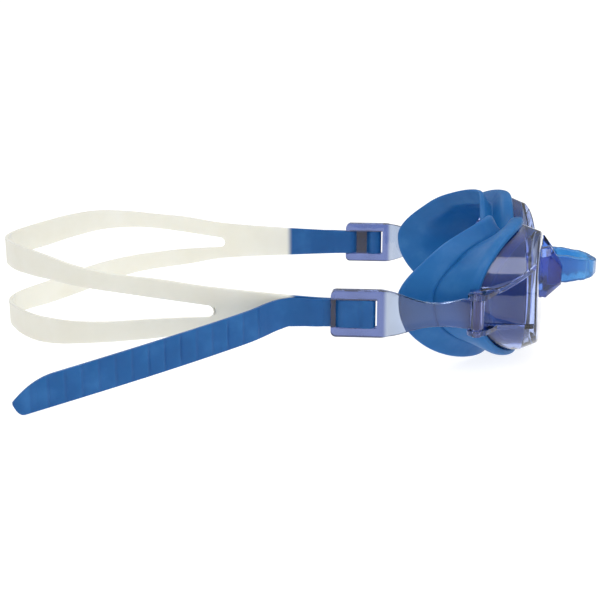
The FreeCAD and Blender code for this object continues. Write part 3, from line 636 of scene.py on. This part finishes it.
# The lens from its rear edge out over the wall to the front, and back inside. Wall rings have
# an inset and a place along the wall, and front rings an inset, a share of the size and a depth.
POCKET = LENS_WALL + 0.6
OUTER_WALL = (
    (0.25, 0.0), (0.0, 0.03), (0.0, 0.3), (0.0, 0.6), (0.0, 0.85), (0.03, 1.0), (0.05, 1.15),
    (0.03, 1.3), (0.0, 1.55), (0.0, 1.75), (0.0, 1.93),
)
OUTER_FRONT = ((0.0, 0.985, 0.12), (0.0, 0.965, 0.0), (0.0, 0.6, 0.0), (0.0, 0.25, 0.0))
INNER_FRONT = (
    (POCKET, 0.25, LENS_WALL), (POCKET, 0.6, LENS_WALL), (POCKET, 0.78, LENS_WALL),
    (POCKET, 0.86, LENS_WALL + 0.3), (POCKET, 0.93, LENS_WALL + 1.1), (POCKET, 0.98, LENS_WALL + 2.4),
)
INNER_WALL = (
    (POCKET - 0.15, 1.35), (POCKET - 0.4, 1.0), (LENS_WALL, 0.6), (LENS_WALL, 0.3),
    (LENS_WALL, 0.03), (LENS_WALL - 0.25, 0.0),
)
LUG_START = 71.0
LUG_SIDE = -14.6

# Ledges of the lens bracket: foot over the middle of the pin, and rise towards the front.
UPPER_LEDGE = (5.6, 8.5)
LOWER_LEDGE = (-7.6, -0.6)
LEDGE_THICKNESS = 2.0


def lens_shell():
    """The hollow of the lens: its wall, rounded shoulder and flat front, open at the rear."""
    outside = [lens_ring(*row) for row in OUTER_WALL] + [face_ring(*row) for row in OUTER_FRONT]
    inside = [face_ring(*row) for row in INNER_FRONT] + [lens_ring(*row) for row in INNER_WALL]
    rings = inside + outside
    points = [point for ring in rings for point in ring]
    faces = ring_faces(len(rings), CUP_STEPS, False)
    last_outside = (len(rings) - 1) * CUP_STEPS
    front_middle = len(points)
    points.append((LENS_FRONT, -CUP_OFFSET, CUP_RISE))
    back_middle = len(points)
    points.append((LENS_FRONT - LENS_WALL, -CUP_OFFSET, CUP_RISE))
    for step in range(CUP_STEPS):
        following = (step + 1) % CUP_STEPS
        faces.append((last_outside + step, last_outside + following, front_middle))
        faces.append((following, step, back_middle))
    return clean(make_mesh("right_lens_piece", points, faces))


def make_lens():
    """The lens with the two ledges of its bracket and its nose lug, as one moulding."""
    upper = bracket_plate(*UPPER_LEDGE)
    lower = bracket_plate(*LOWER_LEDGE)
    lens = joined("right_lens_piece", [lens_shell(), upper, lower, nose_lug()])
    smooth_by_angle(lens, 26.0)
    paint(lens, LENS, LUG)
    for face in lens.data.polygons:
        place = (face.center - ORIGIN) / MM
        face.material_index = 1 if place.x > LUG_START and place.y > LUG_SIDE else 0
    return lens


def prism(name, plan, lift, thickness):
    """An upright prism over plan corners (x, y), whose foot height is a function of x."""
    lower = [(x, y, lift(x)) for x, y in plan]
    upper = [(x, y, lift(x) + thickness) for x, y in plan]
    return skin(name, [lower, upper])


def wall_y(x, z):
    """Y of the right lens's wall on its temple side, at a place along it and a height."""
    front = min(1.0, max(0.0, (x - LENS_SHOULDER) / (LENS_FRONT - LENS_SHOULDER)))
    wide = LENS_HALF_WIDTH - front * FRONT_TAPER_WIDE
    high = LENS_HALF_HEIGHT - front * FRONT_TAPER_HIGH
    radius = wide
    for _ in range(12):
        angle = math.asin((z - CUP_RISE) / radius) % (2.0 * math.pi)
        radius = outline_radius(wide, high, angle)
    return -CUP_OFFSET - radius * math.cos(angle)


def bracket_plate(over_pin, rise):
    """One of the two ledges that hold the clip pin and run forward along the lens wall."""
    foot = PIN_Z + over_pin
    reach = 3.2
    front = LENS_FRONT - 4.2

    def lift(x):
        share = max(0.0, (x - PIN_X - 3.5) / (front - 3.8 - PIN_X))
        return foot + rise * share ** 1.6

    plan = []
    for step in range(9):
        angle = math.radians(-100.0 - 150.0 * step / 8.0)
        plan.append((PIN_X - 0.4 + reach * math.cos(angle), -PIN_Y + reach * math.sin(angle)))
    plan.append((PIN_X - 3.2, wall_y(PIN_X, foot) + 1.0))
    along = [PIN_X + 8.0 + (front - PIN_X - 8.0) * step / 8.0 for step in range(9)]
    for x in along:
        plan.append((x, wall_y(x, lift(x)) + 1.0))
    for x in reversed(along):
        ledge = interpolate(((PIN_X + 8.0, 3.4), (LENS_SHOULDER - 2.0, 1.2), (front, 0.5)), x)
        plan.append((x, wall_y(x, lift(x)) - ledge))
    plan.append((PIN_X + 3.4, -PIN_Y - 1.4))
    plate = prism("bracket", plan[::-1], lift, LEDGE_THICKNESS)
    return bevelled(plate, 0.25)


def nose_lug():
    """The faceted lug beside the nose, cut like a gem from clear plastic."""
    rear = 68.5
    front = 80.8
    outer = 14.4
    inner = 9.5
    rise = 5.0
    edge = [(rear, rise + 8.6), (rear + 7.0, rise + 10.6), (front - 1.6, rise + 5.6),
            (front, rise + 2.8), (front - 0.2, rise - 5.2), (rear + 6.0, rise - 11.2),
            (rear, rise - 9.8)]
    side = [(x, -inner, z) for x, z in edge]
    middle_x = rear + 7.5
    waist = [(middle_x + (x - middle_x) * 0.98, -(inner + outer) / 2.0, rise + (z - rise) * 0.97)
             for x, z in edge]
    facet = [(middle_x + (x - middle_x) * 0.86, -outer, rise + (z - rise) * 0.66) for x, z in edge]
    lug = skin("lug", [side, waist, facet])
    return bevelled(lug, 0.22, 20.0, 2)


# ---------------------------------------------------------------------------------------------
# nose bridge

# Place along X, and height of the bridge there.
BRIDGE_HEIGHTS = ((76.3, 11.6), (81.8, 11.1), (88.8, 9.0), (94.8, 6.2))


def make_bridge():
    """Ribbed U of soft silicone between the lugs, lower at its front."""
    outer = 9.4
    wall = 3.4
    rear = 75.0
    middle = 96.0 - outer
    rise = 5.35
    corner = 0.8
    rib_pitch = 3.1
    rib_depth = 0.36
    radius = outer - wall / 2.0
    path = []
    straight = 14
    for step in range(straight):
        path.append((rear + (middle - rear) * step / straight, -radius, (0.0, -1.0)))
    turn = 40
    for step in range(turn + 1):
        angle = -math.pi / 2.0 + math.pi * step / turn
        path.append((middle + radius * math.cos(angle), radius * math.sin(angle),
                     (math.cos(angle), math.sin(angle))))
    for step in range(1, straight + 1):
        path.append((middle - (middle - rear) * step / straight, radius, (0.0, 1.0)))
    rings = []
    for x, y, (nx, ny) in path:
        half_high = 0.5 * interpolate(BRIDGE_HEIGHTS, x)
        rib = 0.5 - 0.5 * math.cos(2.0 * math.pi * (x - rear) / rib_pitch)
        rib = rib * rib * (3.0 - 2.0 * rib)
        half_thick = wall / 2.0 - rib_depth * (1.0 - rib)
        ring = []
        for quarter, (side, level) in enumerate(((1, 1), (-1, 1), (-1, -1), (1, -1))):
            for step in range(5):
                angle = math.pi / 2.0 * (quarter + step / 4.0)
                across = side * (half_thick - corner) + corner * math.cos(angle)
                upward = level * (half_high - corner) + corner * math.sin(angle)
                ring.append((x + nx * across, y + ny * across, rise + upward))
        rings.append(ring)
    return smooth_by_angle(skin("nose_bridge_piece", rings), 50.0)


# ---------------------------------------------------------------------------------------------
# strap

# Plan of the strap behind its straight part: share of the way back, share of the half span.
STRAP_PLAN = (
    (0.22, 1.0), (0.38, 0.99), (0.49, 0.955), (0.58, 0.89), (0.66, 0.80), (0.73, 0.70),
    (0.80, 0.575), (0.865, 0.445), (0.925, 0.31), (0.97, 0.19), (0.993, 0.09),
)


def strap_plan(side):
    """Middle line of the strap from the back of the head to the buckle, in plan."""
    points = [(-STRAP_REAR, 0.0)]
    for share, width in STRAP_PLAN[::-1]:
        points.append((-STRAIGHT_END - (STRAP_REAR - STRAIGHT_END) * share, side * STRAP_SPAN * width))
    points.append((-STRAIGHT_END, side * STRAP_SPAN))
    points.append((-42.0, side * STRAP_SPAN))
    points.append((-19.7, side * (INNER_LAYER + 0.1)))
    points.append((-12.3, side * INNER_LAYER))
    return points


def fold_plan(side):
    """The strap inside the buckle: in past the lock bar, around the fold bar and back."""
    bar_radius = 0.9
    buckle_half = 2.1
    bar_depth = 1.1
    middle = CLIP_Y + 0.2
    turn = bar_radius + STRAP_PLAY + STRAP_THICKNESS / 2.0
    over_bar = CLIP_Y - buckle_half + bar_depth + STRAP_PLAY + STRAP_THICKNESS / 2.0
    top = over_bar + STRAP_THICKNESS + STRAP_PLAY
    inner = [(-9.5, INNER_LAYER), (-7.3, INNER_LAYER + 0.05), (-5.0, over_bar), (0.6, over_bar),
             (2.4, middle - turn + 0.1)]
    bar_x = 3.9
    arc = []
    for step in range(9):
        angle = math.pi * step / 8.0
        arc.append((bar_x + (turn + 0.6) * math.sin(angle), middle - turn * math.cos(angle)))
    outer = [(2.4, middle + turn - 0.05), (0.6, top), (-5.2, top), (-7.8, OUTER_LAYER + 0.05),
             (-9.7, OUTER_LAYER)]
    return [(x, side * y) for x, y in inner + arc + outer]


def tail_plan(side, length, swing):
    """Middle line of a loose strap end, from the bend back to its tip."""
    beside = STRAP_SPAN + STRAP_THICKNESS + 2.0 * STRAP_PLAY
    run = math.sqrt(length ** 2 - swing ** 2) - 16.0
    points = [(-12.25, side * OUTER_LAYER), (-16.25, side * (OUTER_LAYER + 0.45)),
              (-28.25, side * (beside + 0.3))]
    for step in range(1, 9):
        share = step / 8.0
        points.append((-28.25 - run * share, side * (beside + 0.3 + swing * share ** 0.9)))
    return points


def resample(points, spacing):
    """Even stations along a smooth plan curve: (x, y, distance)."""
    fine = spline_points(points, 12, False)
    lengths = [0.0]
    for first, second in zip(fine, fine[1:]):
        lengths.append(lengths[-1] + math.dist(first, second))
    count = max(2, int(lengths[-1] / spacing))
    stations = []
    place = 0
    for step in range(count + 1):
        wanted = lengths[-1] * step / count
        while place < len(fine) - 2 and lengths[place + 1] < wanted:
            place += 1
        share = (wanted - lengths[place]) / max(1e-9, lengths[place + 1] - lengths[place])
        x = fine[place][0] + (fine[place + 1][0] - fine[place][0]) * share
        y = fine[place][1] + (fine[place + 1][1] - fine[place][1]) * share
        stations.append((x, y, wanted))
    return stations


# Side view of the bands, from the end of the split (0) to the back of the head (1): the place,
# then the upper band's top and bottom and the lower band's top and bottom.
BAND_EDGES = (
    (0.0, 8.2, 1.1, -3.1, -8.4),
    (0.22, 11.0, 3.7, -4.4, -11.8),
    (0.38, 12.4, 5.6, -5.9, -13.7),
    (0.525, 14.4, 6.8, -7.1, -15.6),
    (0.657, 16.2, 7.2, -8.4, -18.3),
    (0.778, 16.4, 6.05, -10.2, -20.6),
    (0.887, 15.4, 4.5, -11.8, -21.8),
    (1.0, 14.2, 4.0, -12.8, -21.6),
)


def band_edge(column, x, side):
    """Height of one edge of the bands at a place along X."""
    start = SLOT_START[side]
    table = [(-start - (REAR_FACE - start) * row[0], row[column]) for row in BAND_EDGES[::-1]]
    if column in (1, 4):
        sign = 1.0 if column == 1 else -1.0
        table += [(-14.0, sign * (STRAP_HALF + 0.1)), (0.0, sign * STRAP_HALF)]
    return smooth_table(table, x)


def slot_middle(x, side):
    """Height of the middle of the split, which the strap's middle runs into."""
    middle = 0.5 * (band_edge(2, x, side) + band_edge(3, x, side))
    return middle * interpolate(((-SLOT_START[side], 1.0), (-16.0, 0.0)), x)


def slot_share(x, side):
    """How open the split is: 0 ahead of its rounded end, 1 behind it."""
    behind = -SLOT_START[side] - x
    if behind <= 0.0:
        return 0.0
    if behind >= SLOT_END_RADIUS:
        return 1.0
    return math.sqrt(1.0 - (1.0 - behind / SLOT_END_RADIUS) ** 2)


def smooth_table(table, x):
    """Catmull-Rom value of a table of (place, height) pairs in rising order of place."""
    if x <= table[0][0]:
        return table[0][1]
    if x >= table[-1][0]:
        return table[-1][1]
    for index in range(len(table) - 1):
        if table[index][0] <= x <= table[index + 1][0]:
            break
    low, high = table[index], table[index + 1]
    before = table[max(0, index - 1)]
    after = table[min(len(table) - 1, index + 2)]
    span = high[0] - low[0]
    low_slope = (high[1] - before[1]) / max(1e-9, high[0] - before[0])
    high_slope = (after[1] - low[1]) / max(1e-9, after[0] - low[0])
    t = (x - low[0]) / span
    return ((2 * t ** 3 - 3 * t ** 2 + 1) * low[1] + (t ** 3 - 2 * t ** 2 + t) * span * low_slope
            + (3 * t ** 2 - 2 * t ** 3) * high[1] + (t ** 3 - t ** 2) * span * high_slope)


def thicken(obj, thickness, rounding):
    """Give a sheet its thickness and round its edges."""
    settings = {"thickness": thickness * MM, "offset": 0.0, "use_even_offset": True}
    modified(obj, ("SOLIDIFY", settings))
    return bevelled(obj, rounding, 50.0, 3)


def ribbon_sheet(stations, top, bottom, rows):
    """A sheet along stations between two heights, each a function of (x, distance)."""
    points = []
    for x, y, distance in stations:
        high = top(x, distance)
        low = bottom(x, distance)
        for row in range(rows + 1):
            points.append((x, y, low + (high - low) * row / rows))
    faces = []
    for station in range(len(stations) - 1):
        first = station * (rows + 1)
        second = first + rows + 1
        for row in range(rows):
            faces.append((first + row, first + row + 1, second + row + 1, second + row))
    return points, faces


def thinned(stations, side):
    """Keep stations far apart on plain stretches and close together round the split's end."""
    fine_behind = 2.6
    fine_ahead = 0.5
    plain_step = 4
    kept = []
    for index, station in enumerate(stations):
        near_slot = -fine_behind < station[0] + SLOT_START[side] < fine_ahead
        if near_slot or index % plain_step == 0 or index == len(stations) - 1:
            kept.append(station)
    return kept


def make_strap(side, name):
    """Half of the strap: split at the back, whole beside the head, folded in the buckle."""
    plan = strap_plan(side) + fold_plan(side)
    plan.append((-12.3, side * OUTER_LAYER))
    stations = thinned(resample(plan, 0.22), side)

    def edge(column, inner):
        def height(x, distance):
            middle = slot_middle(x, side)
            value = band_edge(column, x, side)
            return middle + (value - middle) * slot_share(x, side) if inner else value
        return height

    upper = ribbon_sheet(stations, edge(1, False), edge(2, True), 6)
    lower = ribbon_sheet(stations, edge(3, True), edge(4, False), 6)
    shift = len(upper[0])
    faces = upper[1] + [tuple(index + shift for index in face) for face in lower[1]]
    return clean(make_mesh(name, upper[0] + lower[0], faces), 0.000004)


def make_tail(side, name, length, swing, drop):
    """Loose strap end with shallow steps across its outer face and a slanting rounded tip."""
    stations = resample(tail_plan(side, length, swing), 0.5)
    total = stations[-1][2]
    long_tail = total > 90.0

    def middle(distance):
        share = max(0.0, (distance - TAIL_LEAD) / (total - TAIL_LEAD))
        return -drop * share ** 0.95

    def half(distance):
        wide = interpolate(((0.0, 1.0), (TAIL_LEAD, 1.0), (TAIL_LEAD + 9.0, 1.05)), distance)
        if long_tail:
            wide *= interpolate(((60.0, 1.0), (total, 0.97)), distance)
        return STRAP_HALF * wide

    def rounding(distance, reach, power):
        left = max(0.0, total - distance)
        if left >= reach:
            return 1.0
        return 1.0 - (1.0 - left / reach) ** power

    def top(x, distance):
        low = middle(distance) - half(distance)
        return low + 2.0 * half(distance) * (0.42 + 0.58 * rounding(distance, 15.0, 2.2))

    def bottom(x, distance):
        kink = interpolate(((5.0, 0.0), (12.0, 0.4), (17.0, 0.8), (24.0, 1.0)), distance)
        return middle(distance) - kink - half(distance) * (0.15 + 0.85 * rounding(distance, 4.5, 2.6))

    points, faces = ribbon_sheet(stations, top, bottom, 12)
    obj = clean(make_mesh(name, points, faces))
    thicken(obj, STRAP_THICKNESS - 0.15, 0.36)
    cut_steps(obj, side, stations, top, bottom)
    return smooth_by_angle(obj, 60.0)


def cut_steps(obj, side, stations, top, bottom):
    """Shallow sloping steps, a fixed pitch apart, inside the edges of a tail's outer face."""
    last = stations[-1][2] - STEP_TIP_DISTANCE
    places = sorted((x, distance) for x, y, distance in stations)
    normals = [vertex.normal.copy() for vertex in obj.data.vertices]
    for vertex, normal in zip(obj.data.vertices, normals):
        place = (vertex.co - ORIGIN) / MM
        distance = linear(places, place.x)
        if normal.y * side < 0.5 or not STEP_FRONT_DISTANCE < distance < last:
            continue
        edge = min(top(0, distance) - place.z, place.z - bottom(0, distance))
        fade = min(1.0, max(0.0, (edge - 0.5) / 0.8))
        phase = ((STEP_FRONT - place.x) / STEP_PITCH) % 1.0
        groove = max(0.0, 1.0 - abs(phase - STEP_GROOVE) / 0.12)
        land = 0.28 - 0.4 * ((phase - STEP_GROOVE) % 1.0) - 0.28 * groove
        vertex.co += normal * land * fade * MM


def linear(table, x):
    """Value of a table of (place, height) pairs, in rising order of place, by straight lines."""
    if x <= table[0][0]:
        return table[0][1]
    low = 0
    high = len(table) - 1
    while high - low > 1:
        middle = (low + high) // 2
        if table[middle][0] <= x:
            low = middle
        else:
            high = middle
    share = min(1.0, (x - table[low][0]) / max(1e-9, table[high][0] - table[low][0]))
    return table[low][1] + (table[high][1] - table[low][1]) * share


# ---------------------------------------------------------------------------------------------
# putting the pieces together


def finish_piece(obj, body, slot_name, *nodes):
    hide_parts(*nodes)
    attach(obj, body)


def place_rigid_pieces():
    gasket = paint(make_gasket(), GASKET)
    lens = make_lens()
    clip = paint(from_cad("right_clip_piece", "right_clip", 0.32), CLIP)
    pin = paint(from_cad("right_pin_piece", "right_clip_pin", 0.25), PIN)
    pieces = ((gasket, "left_cup_gasket", "gasket", "gasket_silicone", "frame"),
              (lens, "left_lens_piece", "lens", "lens_blue", "frame"),
              (pin, "left_pin_piece", "clip_pin", "pin_clear", "frame"))
    for right, left_name, node, slot_name, body in pieces:
        left = flip_side(right, left_name)
        finish_piece(right, body, slot_name, "right_" + node)
        finish_piece(left, body, slot_name, "left_" + node)
    left_clip = flip_side(clip, "left_clip_piece")
    finish_piece(clip, "right_arm", "clip_lavender", "right_clip")
    finish_piece(left_clip, "left_arm", "clip_lavender", "left_clip")
    finish_piece(paint(make_bridge(), BRIDGE), "frame", "bridge_silicone", "nose_bridge")


def place_strap():
    right = make_strap(RIGHT, "strap_right")
    left = make_strap(LEFT, "strap_left")
    for obj, material in ((right, STRAP_RIGHT), (left, STRAP_LEFT)):
        thicken(obj, STRAP_THICKNESS, 0.38)
        smooth_by_angle(obj, 60.0)
        paint(obj, material)
    right_tail = paint(make_tail(RIGHT, "strap_tail_right", *RIGHT_TAIL), STRAP_TAIL)
    left_tail = paint(make_tail(LEFT, "strap_tail_left", *LEFT_TAIL), STRAP_TAIL)
    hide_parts("strap_right_end", "strap_right_fold", "strap_rear")
    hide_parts("strap_left_end", "strap_left_fold", "strap_rear")
    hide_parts("strap_right_tail")
    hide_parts("strap_left_tail")
    for obj, side in ((right, RIGHT), (right_tail, RIGHT)):
        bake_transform(obj)
    for obj, side in ((left, LEFT), (left_tail, LEFT)):
        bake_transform(obj)


# ---------------------------------------------------------------------------------------------
# studio


def make_floor():
    """A wide sheet of pale paper that glows a little, so that it stays even to its edges."""
    half = 24.0
    cells = 40
    points = []
    faces = []
    for row in range(cells + 1):
        for column in range(cells + 1):
            x = -half + 2.0 * half * column / cells
            y = -half + 2.0 * half * row / cells
            points.append((x, y, 0.0))
    for row in range(cells):
        for column in range(cells):
            first = row * (cells + 1) + column
            faces.append((first, first + 1, first + cells + 2, first + cells + 1))
    mesh = bpy.data.meshes.new("floor")
    mesh.from_pydata(points, [], faces)
    floor = link("floor", mesh)
    floor.location.z = -0.0002
    material, tree, shader = new_material("floor_paper")
    paper = ramp(tree, noise(tree, 6.0), ((0.3, (0.30, 0.30, 0.305)), (0.7, (0.33, 0.33, 0.33))))
    tree.links.new(paper, shader.inputs["Base Color"])
    tree.links.new(spread(tree, noise(tree, 40.0), 0.8, 0.95), shader.inputs["Roughness"])
    shader.inputs["Emission Color"].default_value = (1.0, 1.0, 1.0, 1.0)
    shader.inputs["Emission Strength"].default_value = 0.85
    floor.data.materials.append(material)


def area_light(name, place, target, size, power):
    data = bpy.data.lights.new(name, "AREA")
    data.shape = "RECTANGLE"
    data.size = size[0]
    data.size_y = size[1]
    data.energy = power
    light = bpy.data.objects.new(name, data)
    light.location = place
    light.rotation_euler = (target - place).to_track_quat("-Z", "Y").to_euler()
    bpy.context.scene.collection.objects.link(light)


def light_world(tree):
    """Soft light from above that falls off towards the horizon."""
    coordinates = tree.nodes.new("ShaderNodeTexCoord")
    separate = tree.nodes.new("ShaderNodeSeparateXYZ")
    tree.links.new(coordinates.outputs["Generated"], separate.inputs["Vector"])
    height = tree.nodes.new("ShaderNodeMapRange")
    height.inputs["From Min"].default_value = -0.1
    height.inputs["From Max"].default_value = 1.0
    tree.links.new(separate.outputs["Z"], height.inputs["Value"])
    sky = ramp(tree, height.outputs["Result"],
               ((0.0, (0.85, 0.86, 0.88)), (0.12, (0.30, 0.31, 0.34)), (0.45, (0.42, 0.43, 0.45)),
                (0.75, (0.95, 0.95, 0.95))))
    tree.links.new(sky, tree.nodes["Background"].inputs["Color"])
    tree.nodes["Background"].inputs["Strength"].default_value = 0.8


def make_studio():
    scene = bpy.context.scene
    world = bpy.data.worlds.new("studio")
    world.use_nodes = True
    light_world(world.node_tree)
    scene.world = world
    scene.view_settings.view_transform = "Standard"
    middle = at(20.0, 0.0, 0.0)
    area_light("key", at(60.0, -420.0, 620.0), middle, (0.5, 0.4), 1.6)
    area_light("rear", at(-350.0, 350.0, 500.0), middle, (0.5, 0.5), 1.0)
    area_light("front", at(480.0, -250.0, 260.0), middle, (0.35, 0.5), 0.7)
    camera_data = bpy.data.cameras.new("camera")
    camera_data.sensor_width = 36.0
    camera_data.lens = 71.82
    camera_data.clip_start = 0.01
    camera_data.dof.use_dof = False
    camera = bpy.data.objects.new("camera", camera_data)
    camera.location = at(13.9, -486.8, 118.7)
    azimuth = math.radians(4.7)
    elevation = math.radians(15.0)
    ahead = Vector((-math.sin(azimuth) * math.cos(elevation), math.cos(azimuth) * math.cos(elevation),
                    -math.sin(elevation)))
    camera.rotation_euler = ahead.to_track_quat("-Z", "Y").to_euler()
    scene.collection.objects.link(camera)
    scene.camera = camera


make_studio()
make_floor()
place_rigid_pieces()
place_strap()
